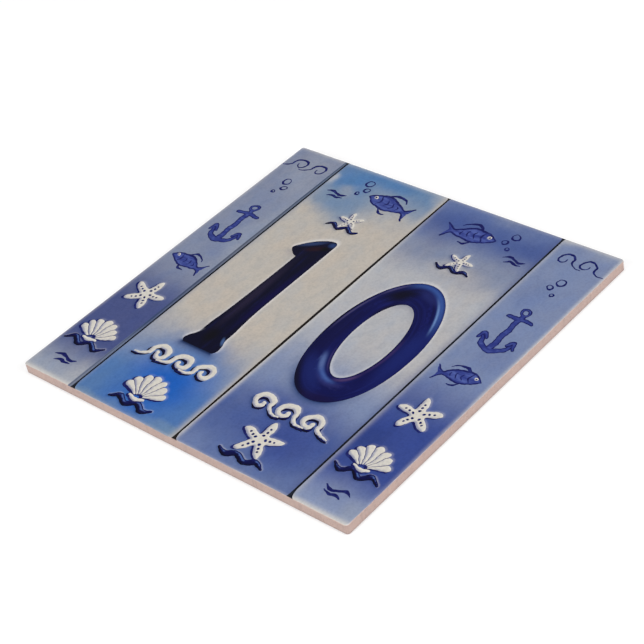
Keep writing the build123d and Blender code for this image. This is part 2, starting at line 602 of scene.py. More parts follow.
class Skin:
    """The glaze as a flat sheet, and where each point of it lies on the tile."""

    def __init__(self):
        self.half = HALF_SIDE - BODY.rim_radius / MM
        self.corner = (BODY.corner_radius - BODY.rim_radius) / MM
        self.proud = BODY.glaze_proud / MM
        self.roll = BODY.rim_radius / MM + self.proud
        self.quarter = self.roll * math.pi / 2
        self.reach = BODY.glaze_reach / MM

    def loop(self, offset):
        return rounded_square(self.half + offset, self.corner + offset, RIM_PITCH)

    def glaze_line(self):
        """Edge of the sheet, where the glaze stops on the sides."""
        points, ways = self.loop(self.reach)
        turn = 2 * math.pi * np.arange(len(points)) / len(points)
        wander = sum(high * np.sin(count * turn + count) for count, high in GLAZE_WAVES)
        return points + ways * wander[:, None]

    def rim_spots(self):
        """Rings of points that shape the roll of the rim."""
        offsets = [*INNER_RINGS, *np.linspace(0, ROLL_SHARE * self.reach, ROLL_RINGS)]
        return np.vstack([self.loop(offset)[0] for offset in offsets])

    def past_roll(self, flat):
        """How far each point of the sheet lies past the start of the roll, and the way out there."""
        corner = self.half - self.corner
        over = np.abs(flat) - corner
        outside = np.maximum(over, 0)
        length = np.linalg.norm(outside, axis=1)
        inside = np.minimum(over.max(1), 0)
        way = np.sign(flat) * outside / np.maximum(length, TINY)[:, None]
        return length + inside - self.corner, way

    def on_tile(self, flat):
        """Places on the tile, in millimetres, of points of the sheet."""
        past, way = self.past_roll(flat)
        past = np.maximum(past, 0)
        turn = np.minimum(past, self.quarter) / self.roll
        out = self.roll * np.sin(turn)
        fall = self.roll * (1 - np.cos(turn)) + np.maximum(past - self.quarter, 0)
        plan = flat + way * (out - past)[:, None]
        return np.column_stack([plan, FACE_HEIGHT + self.proud - fall])


def face_spots(skin, shapes):
    """Points over the face, close together beside raised shapes and wide apart elsewhere."""
    count = int(2 * (skin.half - FACE_MARGIN) / FINE_PITCH)
    steps = np.arange(count + 1)
    order = np.stack(np.meshgrid(steps, steps, indexing="ij"), 2).reshape(-1, 2)
    spots = (order - count / 2) * FINE_PITCH
    any_edge = np.full(len(spots), np.inf)
    raised_edge = np.full(len(spots), np.inf)
    for shape in shapes:
        close = near_box(shape.outline, spots, RAISED_MARGIN if shape.ink in RAISED else FLAT_MARGIN)
        if not close.any():
            continue
        gap = np.abs(signed_gap(shape.outline, spots[close]))
        any_edge[close] = np.minimum(any_edge[close], gap)
        if shape.ink in RAISED or shape.ink == BARE:
            raised_edge[close] = np.minimum(raised_edge[close], gap)
    each = np.where(raised_edge < FINE_REACH, 1, np.where(raised_edge < HALF_REACH, 2, 4))
    kept = (order % each[:, None] == 0).all(1) & (any_edge > CLEAR_OF_EDGE)
    return spots[kept]


def cut_sheet(lines, spots):
    """Triangles of the sheet, none of which crosses a line."""
    corners, edges = [], []
    for line in lines:
        first, count = len(corners), len(line)
        corners.extend(Vector(point) for point in line)
        edges.extend((first + k, first + (k + 1) % count) for k in range(count))
    corners.extend(Vector(point) for point in spots)
    points, _, faces, *_ = delaunay_2d_cdt(corners, edges, [], 0, WELD)
    return np.array([tuple(point) for point in points]), np.array(faces)


def inks_of(middles, shapes):
    """For each triangle's middle, the number of the last shape laid over it, or -1 where the field shows."""
    owner = np.full(len(middles), -1)
    for k, shape in enumerate(shapes):
        close = np.flatnonzero(near_box(shape.outline, middles, 0.0))
        within = close[signed_gap(shape.outline, middles[close]) < 0]
        owner[within] = -1 if shape.ink == BARE else k
    return owner


def edges_of(shapes, k):
    """The outlines that bound a shape: its own and that of a hole laid on it straight after."""
    lines = [shapes[k].outline]
    if k + 1 < len(shapes) and shapes[k + 1].ink == BARE:
        lines.append(shapes[k + 1].outline)
    return lines


def depth_in(lines, spots):
    """How deep spots lie inside a shape with an outer outline and maybe a hole."""
    depth = -signed_gap(lines[0], spots)
    for hole in lines[1:]:
        depth = np.minimum(depth, signed_gap(hole, spots))
    return depth


def painted_ground(lines, spots, relief, light):
    """How dark a raised shape's painted shadow is on spots of the ground, and how bright its gleam."""
    gap = -depth_in(lines, spots)
    nearer = gap + depth_in(lines, spots + light * SHADOW_LOOK * relief.tall)
    below = np.clip(nearer / (SHADOW_GAIN * relief.tall), 0, 1)
    cast = relief.dark * below * np.clip(1 - gap / relief.cast, 0, 1) ** 2
    cast *= np.interp(spots[:, 1], SHADOW_FADES, (1.0, relief.high))
    behind = -depth_in(lines, spots - light * GLEAM_LOOK * relief.tall)
    return cast, relief.gleam * np.clip(1 - behind / (GLEAM_LONG * relief.tall), 0, 1) ** 2


def paint_values(places, faces, owner, shapes):
    """Per corner: depth inside the own shape, lean to the painted light, and shade from raised shapes."""
    depth, lean = np.zeros(faces.shape), np.zeros(faces.shape)
    shade, lit = np.zeros(len(places)), np.zeros(len(places))
    for k, shape in enumerate(shapes):
        lines, relief = edges_of(shapes, k), RAISED.get(shape.ink)
        mine = np.flatnonzero(owner == k)
        spots = places[faces[mine]].reshape(-1, 2)
        if len(mine):
            depth[mine] = np.maximum(depth_in(lines, spots), 0).reshape(-1, 3)
        if len(mine) and relief:
            step = LIGHT * LEAN_STEP
            rise = depth_in(lines, spots - step) - depth_in(lines, spots + step)
            lean[mine] = (rise / (2 * LEAN_STEP)).reshape(-1, 3)
        if relief:
            close = np.flatnonzero(near_box(shape.outline, places, SHADE_MARGIN * relief.tall))
            light = SKY if shape.ink in (ONE, NOUGHT) else LIGHT
            cast, gleam = painted_ground(lines, places[close], relief, light)
            shade[close] = np.maximum(shade[close], cast)
            lit[close] = np.maximum(lit[close], gleam)
    return depth, lean, (shade - lit * (1 - shade))[faces]


def closed_skin(skin, places, faces):
    """Points and faces of the whole skin: the sheet on the tile, and an underside sunk into the biscuit."""
    outer = skin.on_tile(places)
    pairs = np.vstack([faces[:, [0, 1]], faces[:, [1, 2]], faces[:, [2, 0]]])
    both = {tuple(pair) for pair in pairs}
    onward = {a: b for a, b in both if (b, a) not in both}
    start = next(iter(onward))
    rim = [start]
    while onward[rim[-1]] != start:
        rim.append(onward[rim[-1]])
    if len(rim) != len(onward):
        raise RuntimeError("the glaze has a hole in it")
    way = skin.past_roll(places[rim])[1]
    sink = skin.proud + BODY.glaze_depth / MM
    lip = outer[rim] - np.column_stack([way * sink, np.zeros(len(rim))])
    shoulder = lip - np.column_stack([way * skin.roll, np.zeros(len(rim))])
    shoulder[:, 2] = FACE_HEIGHT + skin.proud - sink
    count, first = len(rim), len(outer)
    middle = np.array([[0.0, 0.0, shoulder[0, 2]]])
    under = []
    for k in range(count):
        after = (k + 1) % count
        under.append((rim[after], rim[k], first + k, first + after))
        under.append((first + after, first + k, first + count + k, first + count + after))
        under.append((first + count + after, first + count + k, first + 2 * count))
    return np.vstack([outer, lip, shoulder, middle]), under


# Finishes

BLOT_EDGE, BLOT_CORE = 1.15, 0.15  # where a soft oval ends and where it is full, as shares of its half widths


class Finish:
    """Lays and joins the nodes of one material, and keeps the colour that is painted so far."""

    def __init__(self, name, colour=None):
        self.material = bpy.data.materials.new(name)
        self.material.use_nodes = True
        self.tree = self.material.node_tree
        self.tree.nodes.clear()
        self.shader = self.node("BsdfPrincipled")
        output = self.node("OutputMaterial")
        self.tree.links.new(self.shader.outputs["BSDF"], output.inputs["Surface"])
        self.coordinates = self.node("TexCoord").outputs["Object"]
        self.colour = colour

    def node(self, kind):
        return self.tree.nodes.new("ShaderNode" + kind)

    def feed(self, socket, value):
        """Joins a socket to another, or sets it to a number or colour."""
        if isinstance(value, bpy.types.NodeSocket):
            self.tree.links.new(value, socket)
        elif socket.type == "RGBA":
            socket.default_value = (*value, 1.0)
        else:
            socket.default_value = value

    def surface(self, roughness, shine):
        """Gives the shader the painted colour, and how rough and how shiny it is."""
        values = {"Base Color": self.colour, "Roughness": roughness, "Specular IOR Level": shine}
        for name, value in values.items():
            self.feed(self.shader.inputs[name], value)

    def math(self, operation, first, second=0.0):
        node = self.node("Math")
        node.operation = operation
        self.feed(node.inputs[0], first)
        self.feed(node.inputs[1], second)
        return node.outputs[0]

    def times(self, first, second):
        return self.math("MULTIPLY", first, second)

    def plus(self, first, second):
        return self.math("ADD", first, second)

    def minus(self, first, second):
        return self.math("SUBTRACT", first, second)

    def length(self, aside, above):
        return self.math("SQRT", self.plus(self.times(aside, aside), self.times(above, above)))

    def ease(self, value, low, high, most=1.0):
        """Nothing at low, most at high, and a smooth change between them."""
        node = self.node("MapRange")
        node.interpolation_type = "SMOOTHSTEP"
        for name, number in (("Value", value), ("From Min", low), ("From Max", high), ("To Max", most)):
            self.feed(node.inputs[name], number)
        return node.outputs["Result"]

    def band(self, value, low, peak, high):
        """A soft ridge: nothing at low and at high, all at the peak between them."""
        return self.times(self.ease(value, low, peak), self.ease(value, high, peak))

    def tint(self, share, colour, blend="MIX"):
        """Paints a colour over the one so far, as thick as the share says."""
        node = self.node("Mix")
        node.data_type = "RGBA"
        node.blend_type = blend
        self.feed(node.inputs["Factor"], share)
        first, second = (socket for socket in node.inputs if socket.type == "RGBA")
        self.feed(first, self.colour)
        self.feed(second, colour)
        self.colour = next(socket for socket in node.outputs if socket.type == "RGBA")

    def noise(self, size_mm, detail=2.0, offset=0.0, stretch=(1.0, 1.0, 1.0), along=None):
        """Soft noise from 0 to 1 with lumps of about the given size, also along a vector in millimetres."""
        spread = self.node("Mapping")
        spread.inputs["Location"].default_value = (offset, 2 * offset, 3 * offset)
        spread.inputs["Scale"].default_value = stretch
        self.feed(spread.inputs["Vector"], along or self.coordinates)
        node = self.node("TexNoise")
        self.feed(node.inputs["Vector"], spread.outputs["Vector"])
        node.inputs["Scale"].default_value = 1 / size_mm if along else 1 / (size_mm * MM)
        node.inputs["Detail"].default_value = detail
        return node.outputs["Fac"]

    def place_mm(self):
        """The place on the tile along X, Y and Z, in millimetres."""
        node = self.node("SeparateXYZ")
        self.feed(node.inputs[0], self.coordinates)
        return [self.times(socket, 1 / MM) for socket in node.outputs]

    def joined(self, *values):
        """Three values as one vector."""
        node = self.node("CombineXYZ")
        for socket, value in zip(node.inputs, values):
            self.feed(socket, value)
        return node.outputs[0]

    def painted(self, name):
        """A value that the glaze keeps on the corners of its faces."""
        node = self.node("Attribute")
        node.attribute_name = name
        return node.outputs["Fac"]

    def upward(self, height, stops):
        """Colours that change up the face, from stops of a height in millimetres and a colour."""
        node = self.node("ValToRGB")
        ramp = node.color_ramp
        ramp.interpolation = "EASE"
        while len(ramp.elements) < len(stops):
            ramp.elements.new(1.0)
        for element, (stop, colour) in zip(ramp.elements, stops):
            element.position = (stop + HALF_SIDE) / (2 * HALF_SIDE)
            element.color = (*colour, 1.0)
        share = self.math("DIVIDE", self.plus(height, HALF_SIDE), 2 * HALF_SIDE)
        self.feed(node.inputs["Fac"], share)
        return node.outputs["Color"]

    def blot(self, x, y, at, half_long, half_wide, turn=0.0, most=1.0):
        """A soft oval about a place, turned by degrees, that fades from most to nothing at its edge."""
        cos, sin = math.cos(math.radians(turn)), math.sin(math.radians(turn))
        aside, above = self.minus(x, at[0]), self.minus(y, at[1])
        along = self.plus(self.times(aside, cos / half_long), self.times(above, sin / half_long))
        across = self.plus(self.times(above, cos / half_wide), self.times(aside, -sin / half_wide))
        return self.ease(self.length(along, across), BLOT_EDGE, BLOT_CORE, most)

    def bump(self, height, depth_mm):
        node = self.node("Bump")
        node.inputs["Distance"].default_value = depth_mm * MM
        self.feed(node.inputs["Height"], height)
        self.feed(self.shader.inputs["Normal"], node.outputs["Normal"])


GLAZE_ROUGHNESS, GLAZE_SHINE = 0.16, 0.35
GRAIN_SIZE = 0.9  # millimetres, of the grain of the print
GRAIN_DARK = (0.9, 0.9, 0.915)  # of a colour's light, where that grain is darkest
FLOW_SIZE, FLOW_DEPTH = 9.0, 0.02  # millimetres, of the slow waves in the glaze


def glazed(finish):
    """Covers what is painted with the tile's clear glaze."""
    finish.tint(finish.ease(finish.noise(GRAIN_SIZE), 0.35, 0.75), GRAIN_DARK, blend="MULTIPLY")
    finish.surface(GLAZE_ROUGHNESS, GLAZE_SHINE)
    finish.bump(finish.noise(FLOW_SIZE, detail=1.0), FLOW_DEPTH)
    return finish.material


# The four printed fields. Stops: height in millimetres and colour. Blots: place from the field's middle and
# height, half width, half height, colour and strength. Wander: how far the edges of the colours stray.
# Borders: colour, strength and width along each side, and for some the heights between which it comes up.

PALETTE = {
    "chalk": srgb(208, 205, 200),
    "cream": srgb(190, 183, 174),
    "pearl": srgb(180, 180, 183),
    "haze": srgb(154, 161, 176),
    "ice": srgb(140, 153, 183),
    "mist": srgb(132, 141, 165),
    "lilac": srgb(124, 138, 172),
    "steel": srgb(100, 117, 162),
    "dusk": srgb(78, 96, 150),
    "slate": srgb(74, 84, 132),
    "indigo": srgb(56, 74, 142),
    "ink": srgb(40, 58, 120),
    "sea": srgb(84, 121, 172),
    "sky": srgb(108, 136, 169),
    "azure": srgb(60, 118, 177),
    "glow": srgb(22, 92, 184),
}
FIELDS = {
    "left_end": {
        "stops": ((-76, "haze"), (-52, "slate"), (-32, "slate"), (-3, "mist"), (76, "mist")),
        "blots": (
            (2, 63, 9, 22, "haze", 0.5),
            (4, 10, 8, 9, "steel", 0.2),
            (-3, 32, 8, 10, "lilac", 0.4),
            (10, 26, 6, 45, "haze", 0.5),
            (10, -71, 6, 10, "pearl", 0.55),
        ),
        "wander": 7.0,
        "borders": {"left": ("chalk", 0.34, 0.9), "low": ("chalk", 0.95, 1.45), "high": ("chalk", 0.5, 1.2)},
    },
    "one_field": {
        "stops": ((-76, "sky"), (-73, "sea"), (-62, "sea"), (-19, "cream"), (44, "cream"), (76, "sky")),
        "blots": (
            (2, -57, 24, 28, "glow", 0.95),
            (0, -42, 26, 12, "sea", 0.62),
            (-12, 58, 16, 18, "sky", 0.85),
            (-20, 53, 9, 8, "sky", 0.6),
            (-3, 72, 24, 8, "azure", 0.65),
            (-14, 66, 9, 7, "azure", 0.6),
            (-22, 66, 4, 4, "chalk", 0.65),
            (-12, 62, 5, 4, "cream", 0.3),
            (14, 56, 10, 7, "cream", 0.55),
            (22, 75, 6, 7, "pearl", 0.5),
        ),
        "wander": 9.0,
        "borders": {
            "left": ("mist", 0.4, 1.1),
            "right": ("cream", 0.75, 1.7),
            "low": ("chalk", 0.22, 0.7),
            "high": ("chalk", 0.36, 1.4),
        },
    },
    "nought_field": {
        "stops": (
            (-76, "steel"), (-55, "dusk"), (-34, "lilac"), (-2, "pearl"),
            (28, "pearl"), (49, "mist"), (65, "dusk"), (76, "steel"),
        ),
        "blots": (
            (8, -57, 22, 17, "indigo", 0.75),
            (-1, -43, 25, 11, "indigo", 0.68),
            (-20, -74, 10, 10, "lilac", 0.35),
            (-15, 60, 9, 12, "indigo", 0.2),
            (18, 66, 9, 9, "indigo", 0.12),
            (0, 75, 9, 5, "mist", 0.4),
            (1, 42, 13, 7, "cream", 0.45),
        ),
        "wander": 6.0,
        "borders": {
            "left": ("chalk", 0.8, 1.35, 88, 20),
            "right": ("slate", 0.4, 1.8),
            "low": ("chalk", 0.26, 0.7),
            "high": ("chalk", 0.25, 1.1),
        },
    },
    "right_end": {
        "stops": ((-76, "ice"), (-54, "indigo"), (-33, "indigo"), (3, "lilac"), (76, "lilac")),
        "blots": (
            (-8, -41, 9, 10, "ink", 0.55),
            (4, 11, 9, 10, "dusk", 0.25),
            (-4, 44, 7, 12, "steel", 0.35),
            (0, -69, 9, 6, "lilac", 0.5),
            (-11, 75, 6, 5, "pearl", 0.65),
            (5, 74, 10, 6, "haze", 0.5),
            (10, -72, 7, 7, "haze", 0.6),
        ),
        "wander": 6.0,
        "borders": {
            "left": ("pearl", 0.55, 1.4),
            "right": ("chalk", 0.55, 0.85, -100, 15),
            "low": ("chalk", 0.9, 1.3),
            "high": ("chalk", 0.52, 1.2),
        },
    },
}
WANDER_SIZE = 26.0  # millimetres, of the lumps by which the colours stray
NOISE_START, NOISE_STEP = 0.1, 0.3  # metres, of the first field's noise and from one field's to the next
STAINS = (  # factor on a colour, and size of its patches in millimetres
    ((1.035, 1.0, 0.965), 11.0),
    ((0.94, 0.974, 1.025), 6.0),
    ((0.92, 0.932, 0.95), 2.6),
)
BRUSH_WAY = (1.0, 0.6, 1.0)  # how the stain is drawn out along the fields
BORDER_REACH, BORDER_FALL = 3.2, 3.0  # of a border, in its widths, and how fast it fades
PAINTED_SHADES = (  # colour, the shades between which it comes up, and strength
    (srgb(28, 56, 110), 0.0, 0.95, 0.85),
    (srgb(12, 26, 56), 0.6, 1.0, 0.8),
    (srgb(228, 225, 224), 0.0, -0.6, 0.5),
)
RIM_BARES = (FACE_HEIGHT + 0.03, FACE_HEIGHT - 0.08)  # heights between which the print ends on the rim
RIGHT_RIM = (HALF_SIDE - 0.8, HALF_SIDE - 0.2)  # and places across, on the right
PRINT_OVER_RIM = 0.4  # how much of the print rolls over the rim on the right, where the sheet lay aside


def upright(finish, x, y):
    """Place across the face, measured from the leaning joints as if they stood upright."""
    return finish.plus(x, finish.times(y, joint_lean()))


def field_finish(name, left, right, offset):
    """A printed field between two joints, its colours wandering like brushed-on stain."""
    field, finish = FIELDS[name], Finish(name)
    x, y, z = finish.place_mm()
    lumps = [finish.noise(WANDER_SIZE, detail=4.0, offset=offset + 0.5 * axis) for axis in range(2)]
    stray = [finish.minus(lump, 0.5) for lump in lumps]
    across = finish.plus(x, finish.times(stray[0], 2 * field["wander"]))
    up = finish.plus(y, finish.times(stray[1], 2 * field["wander"]))
    finish.colour = finish.upward(up, [(height, PALETTE[shown]) for height, shown in field["stops"]])
    for off, height, half_wide, half_high, shown, strength in field["blots"]:
        at = ((left + right) / 2 + off, height)
        finish.tint(finish.blot(across, up, at, half_wide, half_high, most=strength), PALETTE[shown])
    for factor, size in STAINS:
        stain = finish.noise(size, detail=4.0, offset=offset + size, stretch=BRUSH_WAY)
        finish.tint(finish.ease(stain, 0.42, 0.68), factor, blend="MULTIPLY")
    sides = {
        "left": finish.minus(upright(finish, x, y) if left > -HALF_SIDE else x, left),
        "right": finish.minus(right, upright(finish, x, y) if right < HALF_SIDE else x),
        "low": finish.plus(y, HALF_SIDE),
        "high": finish.minus(HALF_SIDE, y),
    }
    # borders: painted light along the rounded edges of each pictured tile, or painted shade where the colour
    # is darker
    for side, (shown, strength, width, *heights) in field["borders"].items():
        edge_gap = finish.plus(sides[side], finish.times(stray[0], width))
        border = finish.math("POWER", finish.ease(edge_gap, BORDER_REACH * width, 0.0), BORDER_FALL)
        border = finish.times(border, strength)
        if heights:
            border = finish.times(border, finish.ease(y, *heights))
        finish.tint(border, PALETTE[shown])
    shade = finish.painted("shade")
    for shown, start, full, strength in PAINTED_SHADES:
        finish.tint(finish.ease(shade, start, full, most=strength), shown)
    rim = finish.times(finish.ease(z, *RIM_BARES), finish.ease(stray[1], -0.2, 0.05, most=0.9))
    printed_over = finish.ease(x, *RIGHT_RIM, most=PRINT_OVER_RIM)
    finish.tint(finish.times(rim, finish.minus(1.0, printed_over)), BODY.bare_glaze)
    return glazed(finish)


SLIP_LIGHT, SLIP_STAIN = srgb(230, 226, 217), srgb(190, 180, 162)


def slip_finish():
    """White slip, painted with a soft shaded side and a painted highlight on its lit side."""
    finish = Finish(WHITE, PRINT.slip)
    edge = finish.ease(finish.painted("depth"), RAISED[WHITE].dome, 0.0)
    turned = finish.times(finish.painted("lean"), edge)
    finish.tint(finish.ease(turned, 0.1, -0.95), PRINT.slip_shade)
    finish.tint(finish.ease(turned, 0.3, 1.0, most=0.5), SLIP_LIGHT)
    finish.tint(finish.ease(finish.noise(3.0), 0.4, 0.8, most=0.2), SLIP_STAIN)
    return glazed(finish)


# Lights and darks painted on the digits: a soft oval on the face, its colour and strength. Where it follows
# the digit's edge, also the depths at which it starts, is full and ends, and 1 if only on edges that face the
# painted light.

Light = namedtuple("Light", "x y half_long half_wide turn colour strength depths facing", defaults=(None, 0))
DIGIT_LIGHTS = {
    ONE: (
        Light(-28.6, -4.0, 27.0, 2.6, 91, (36, 30, 54), 0.8),
        Light(-22.2, -3.0, 27.0, 2.2, 89, (9, 6, 62), 0.85),
        Light(-26.4, -30.0, 6.0, 3.6, 90, (8, 7, 12), 0.8),
        Light(-26.5, 27.0, 5.5, 1.8, 34, (42, 16, 22), 0.7),
        Light(-23.4, 28.6, 2.4, 1.8, 30, (9, 12, 11), 0.8),
        Light(-29.6, 28.8, 7.4, 1.45, 36, (44, 60, 102), 0.9),
        Light(-22.0, 31.6, 2.2, 1.9, 20, (42, 68, 122), 0.75),
        Light(-20.2, -30.6, 2.8, 0.9, -62, (72, 100, 150), 0.85),
        Light(-32.2, -30.0, 2.4, 0.9, 60, (94, 96, 110), 0.8),
    ),
    NOUGHT: (
        Light(40.5, -3.0, 24.0, 5.0, 90, (26, 40, 112), 0.6),
        Light(11.8, -3.0, 24.0, 5.0, 90, (12, 10, 50), 0.5),
        Light(27.0, -35.8, 14.0, 3.0, 8, (20, 11, 56), 0.6),
        Light(8.4, 4.0, 20.0, 3.0, 88, (8, 6, 24), 0.85, (-0.6, 0.1, 1.0)),
        Light(9.6, 7.0, 14.0, 3.0, 82, (80, 74, 114), 0.75, (0.7, 1.3, 2.0)),
        Light(18.6, 12.5, 10.0, 3.4, 70, (8, 6, 34), 0.7, (-0.6, 0.3, 2.4)),
        Light(18.5, -26.5, 13.0, 4.5, -49, (25, 37, 104), 0.7),
        Light(29.0, 25.5, 9.0, 3.2, -20, (36, 44, 104), 0.6),
        Light(26.0, -29.0, 11.0, 6.0, 0, (46, 47, 104), 0.7, (2.2, 4.0, 5.8), 1),
        Light(19.2, 21.5, 9.0, 4.5, 46, (7, 6, 26), 0.95),
        Light(14.6, 23.6, 8.0, 3.0, 55, (84, 80, 126), 0.6, (0.2, 1.1, 2.2)),
        Light(32.0, 24.0, 23.0, 11.0, -38, (56, 88, 158), 0.85, (-0.4, 1.3, 3.6), 1),
        Light(38.6, 17.6, 12.0, 4.5, -60, (112, 146, 200), 0.8, (1.6, 2.4, 3.2), 1),
        Light(14.8, -31.4, 17.0, 4.6, -48, (8, 7, 24), 0.75, (-1.2, 0.4, 3.2)),
        Light(21.0, -23.4, 12.0, 6.5, -45, (40, 60, 132), 0.75, (0.9, 3.0, 5.5), 1),
        Light(17.8, -20.6, 6.0, 3.4, -58, (86, 106, 158), 0.9, (1.2, 3.0, 4.8), 1),
        Light(23.6, -26.6, 7.8, 3.6, -26, (74, 102, 168), 0.65, (1.1, 2.6, 4.1), 1),
        Light(19.4, -18.6, 8.0, 4.0, -62, (88, 76, 124), 0.3, (0.2, 0.8, 1.4)),
        Light(31.4, -23.8, 6.5, 4.0, 48, (84, 62, 108), 0.7, (0.2, 1.1, 2.6)),
        Light(36.0, -8.0, 15.0, 3.0, 84, (60, 44, 98), 0.65, (0.2, 1.0, 2.2)),
    ),
}
COBALT_MARK = srgb(36, 46, 128)  # where the brush left thick cobalt thinner
MARK_SIZE = 1.4  # millimetres between brush marks
DRAWN_OUT, BENT_ROUND = 0.1, 0.04  # how far the marks are drawn out along the one, and round the other shapes
SHEEN_AT = (0.2, 0.6, 1.8)  # millimetres from the edge, where a sheen starts, is full and ends


def thick_cobalt_finish(ink, shown, dark, marked, sheen=0.0):
    """Thick cobalt, darker where it turns from the painted light, with a sheen or with lights of its own."""
    finish = Finish(ink, shown)
    x, y, _ = finish.place_mm()
    depth, lean = finish.painted("depth"), finish.painted("lean")
    if ink == ONE:
        marks_at = finish.joined(x, finish.times(y, DRAWN_OUT), 0.0)
    else:
        marks_at = finish.joined(depth, finish.times(lean, 2.0), finish.times(y, BENT_ROUND))
    marks = finish.noise(MARK_SIZE, along=marks_at)
    turned = finish.times(lean, finish.ease(depth, RAISED[ink].dome, 0.0))
    finish.tint(finish.ease(turned, 0.5, -0.6, most=dark), PRINT.cobalt_deep)
    finish.tint(finish.ease(marks, 0.5, 0.8, most=marked), COBALT_MARK)
    finish.tint(finish.ease(marks, 0.45, 0.2, most=0.5), PRINT.cobalt_deep)
    if sheen:
        lit = finish.times(finish.ease(lean, 0.5, 1.0, most=sheen), finish.band(depth, *SHEEN_AT))
        finish.tint(lit, PRINT.cobalt_sheen)
    finish.tint(finish.ease(depth, 0.5, 0.0, most=0.4), PRINT.cobalt_deep)
    for light in DIGIT_LIGHTS.get(ink, ()):
        at = (light.x, light.y)
        share = finish.blot(x, y, at, light.half_long, light.half_wide, light.turn, light.strength)
        if light.depths:
            share = finish.times(share, finish.band(depth, *light.depths))
        if light.facing:
            share = finish.times(share, finish.ease(lean, 0.0, 0.4))
        finish.tint(share, srgb(*light.colour))
    return glazed(finish)


WASH_THIN, WASH_EDGE = srgb(82, 98, 166), srgb(38, 48, 122)
LINE_WET, LINE_DRY = srgb(20, 24, 88), srgb(54, 70, 146)


def thin_cobalt_finish():
    """Thin cobalt of the small drawings, brushed on unevenly and darker along its edges."""
    finish = Finish(THIN, PRINT.wash)
    streaks = finish.noise(2.2, detail=3.0, stretch=(0.4, 1.4, 1.0))
    finish.tint(finish.ease(streaks, 0.35, 0.7), WASH_THIN)
    finish.tint(finish.ease(finish.painted("depth"), 0.9, 0.0, most=0.6), WASH_EDGE)
    return glazed(finish)


def line_finish():
    """Fine cobalt lines, a little paler where the brush ran dry."""
    finish = Finish(LINE, LINE_WET)
    finish.tint(finish.ease(finish.noise(1.6, detail=3.0), 0.45, 0.8, most=0.55), LINE_DRY)
    return glazed(finish)


JOINT_DUST = srgb(48, 54, 68)
JOINT_RUST = srgb(34, 27, 20)  # on the joint between the digits
JOINT_RUST_REACH = (20.0, 4.0)  # millimetres from the face's middle, from where none shows to where all does
JOINT_OVER_RIM = (FACE_HEIGHT, FACE_HEIGHT - 0.15)  # heights between which a joint thins out on the rim
WALL_STOPS = (  # height in millimetres and colour
    (-74, srgb(116, 124, 144)),
    (-52, srgb(98, 110, 138)),
    (-34, srgb(62, 78, 116)),
    (-8, srgb(78, 88, 114)),
    (14, srgb(96, 103, 121)),
    (66, srgb(74, 90, 116)),
)
WALL_LINES = (  # a thin dark line and a thin painted highlight along the wall: colour, and millimetres from the joint
    (srgb(48, 58, 80), (1.1, 1.45, 1.85)),
    (srgb(128, 134, 148), (0.5, 0.8, 1.15)),
)
WALL_LINE_STRENGTH = 0.45


def thin_over_rim(finish, z):
    """Thins the print out where the glaze rolls over the rim."""
    finish.tint(finish.ease(z, *JOINT_OVER_RIM, most=0.5), BODY.bare_glaze)


def joint_finish():
    """Dark of the printed joints, uneven like old grout in shade, and browner between the digits."""
    finish = Finish("joint", PRINT.joint)
    x, _, z = finish.place_mm()
    dust = finish.noise(2.5, detail=3.0, stretch=(1.0, 0.3, 1.0))
    finish.tint(finish.ease(dust, 0.4, 0.8, most=0.55), JOINT_DUST)
    rust = finish.ease(finish.math("ABSOLUTE", x), *JOINT_RUST_REACH)
    patchy = finish.ease(finish.noise(14.0, detail=3.0), 0.25, 0.55, most=0.9)
    finish.tint(finish.times(rust, patchy), JOINT_RUST)
    thin_over_rim(finish, z)
    return glazed(finish)


def wall_finish(joint):
    """Painted side wall of a pictured tile beside a joint, in painted shade, with a thin painted highlight
    and a thin dark line along it.
    """
    finish = Finish("joint_wall")
    x, y, z = finish.place_mm()
    finish.colour = finish.upward(y, WALL_STOPS)
    streaks = finish.minus(finish.noise(3.0, detail=3.0, stretch=(1.0, 0.25, 1.0)), 0.5)
    gap = finish.plus(finish.minus(joint, upright(finish, x, y)), finish.times(streaks, 0.4))
    for shown, at in WALL_LINES:
        finish.tint(finish.times(finish.band(gap, *at), WALL_LINE_STRENGTH), shown)
    thin_over_rim(finish, z)
    return glazed(finish)


def underside_finish():
    """Inner side of the glaze, where it has grown into the clay."""
    finish = Finish("glaze_inside", BODY.bare_glaze)
    finish.tint(finish.ease(finish.noise(1.2), 0.4, 0.7), BODY.biscuit)
    return glazed(finish)


BISCUIT_WARM, BISCUIT_PALE = srgb(208, 180, 168), srgb(226, 206, 198)
BISCUIT_SHINE = 0.2
ARRIS_SHADE = srgb(128, 110, 106)  # painted shade along the lower arris, where the sides meet the back
ARRIS_REACH = (HALF_SIDE - 1.4, HALF_SIDE - 0.3)  # out from the middle, where the lower sides' painted shade comes up
KILN_WASH = srgb(224, 215, 207)  # white powder that the kiln shelf leaves on the ribs of the back
RIB_HEIGHTS = (0.4, 0.02)  # millimetres, from where no powder lies to where all does
ARRIS_HEIGHTS, LOW_SHADE_HEIGHTS = (0.42, 0.1), (1.5, 0.3)  # the same for the painted shade at the arris and low on the sides
PORE_DEPTH = 0.08  # millimetres


